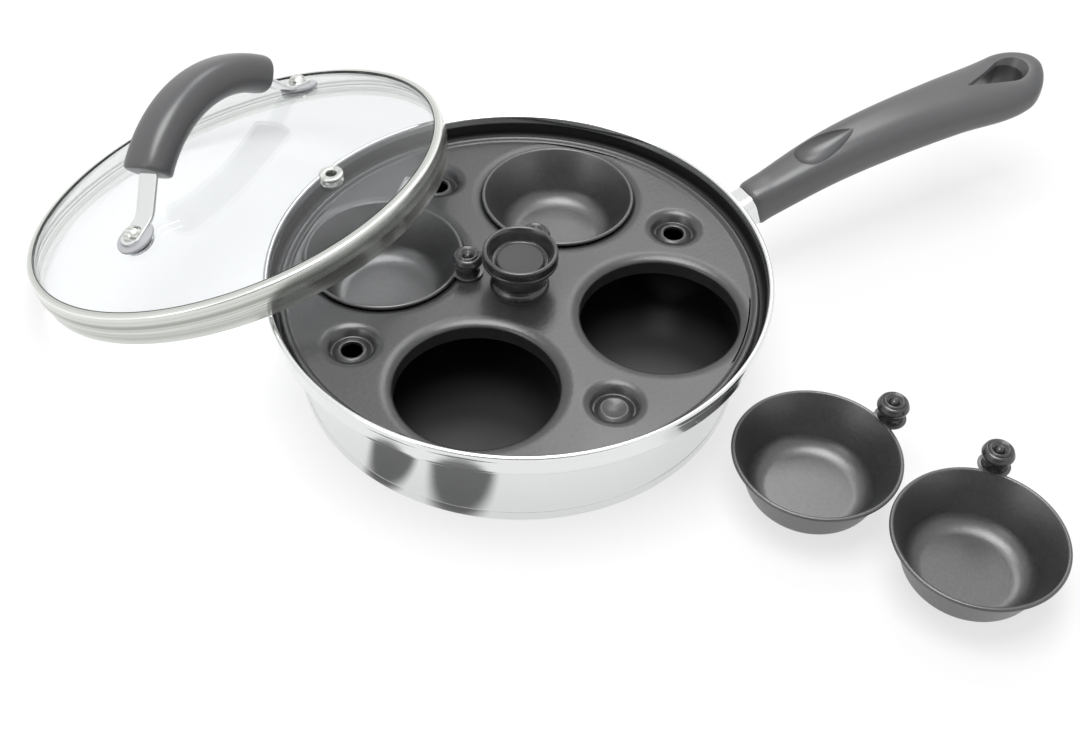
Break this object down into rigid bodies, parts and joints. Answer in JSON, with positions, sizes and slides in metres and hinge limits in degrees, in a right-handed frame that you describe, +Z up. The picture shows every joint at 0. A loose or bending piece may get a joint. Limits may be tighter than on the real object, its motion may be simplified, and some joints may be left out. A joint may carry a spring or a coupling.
{
  "type": "egg poacher pan",
  "caption": "Round lidded steel pan with a long grip, a perforated poaching tray, lift-out egg cups with small knobs, and a domed glass lid leaning on its rim.",
  "frame": {"origin": "middle of the pan's flat base, on the surface that it stands on", "axes": "+Z up along the pan's axis, +X along the long handle, +Y towards the side where the lid leans"},
  "size_m": [0.4519, 0.4228, 0.0949],
  "materials": {
    "polished_steel": "polished",
    "base_steel": "turned",
    "bracket_steel": "plain",
    "lid_steel": "polished",
    "fastener_steel": "plain",
    "aluminium_core": "plain",
    "nonstick_pan": "satin non-stick coating",
    "nonstick_tray": "satin non-stick coating",
    "nonstick_cup": "satin non-stick coating",
    "knob_plastic": "glossy",
    "handle_plastic": "satin moulded",
    "seal_rubber": "matt",
    "lid_glass": "clear"
  },
  "bodies": {
    "pan": {"pan_body": "polished_steel", "pan_lining": "nonstick_pan", "base_core": "aluminium_core", "base_capsule": "base_steel", "handle_bracket": "bracket_steel", "handle_ferrule": "polished_steel", "handle_grip": "handle_plastic", "handle_screw": "fastener_steel"},
    "tray": {"poaching_tray": "nonstick_tray", "tray_knob": "knob_plastic", "tray_knob_plug": "knob_plastic", "tray_knob_screw": "fastener_steel", "tray_knob_washer": "fastener_steel"},
    "lid": {"lid_glass": "lid_glass", "lid_band": "lid_steel", "lid_vent_eyelet": "lid_steel", "lid_strap": "polished_steel", "lid_grip": "handle_plastic", "lid_rivets": "polished_steel", "lid_seal_washers": "seal_rubber", "lid_inner_washers": "fastener_steel"},
    "cup_1": {"cup_bowl_1": "nonstick_cup", "cup_knob_1": "knob_plastic", "cup_knob_rivet_1": "fastener_steel"},
    "cup_2": {"cup_bowl_2": "nonstick_cup", "cup_knob_2": "knob_plastic", "cup_knob_rivet_2": "fastener_steel"},
    "cup_3": {"cup_bowl_3": "nonstick_cup", "cup_knob_3": "knob_plastic", "cup_knob_rivet_3": "fastener_steel"},
    "cup_4": {"cup_bowl_4": "nonstick_cup", "cup_knob_4": "knob_plastic", "cup_knob_rivet_4": "fastener_steel"}
  },
  "joints": [
    {"name": "tray_lift", "type": "slide", "parent": "pan", "child": "tray", "axis": [0, 0, 1], "range_m": [0, 0.12]},
    {"name": "lid_lift", "type": "slide", "parent": "tray", "child": "lid", "axis": [-0.1885, 0.2594, 0.9472], "range_m": [0, 0.12]},
    {"name": "cup_1_lift", "type": "slide", "parent": "tray", "child": "cup_1", "axis": [0, 0, 1], "range_m": [0, 0.0145]},
    {"name": "cup_2_lift", "type": "slide", "parent": "tray", "child": "cup_2", "axis": [0, 0, 1], "range_m": [0, 0.06]},
    {"name": "cup_3_lift", "type": "slide", "parent": "pan", "child": "cup_3", "axis": [0, 0, 1], "range_m": [0, 0.06]},
    {"name": "cup_4_lift", "type": "slide", "parent": "pan", "child": "cup_4", "axis": [0, 0, 1], "range_m": [0, 0.06]}
  ]
}
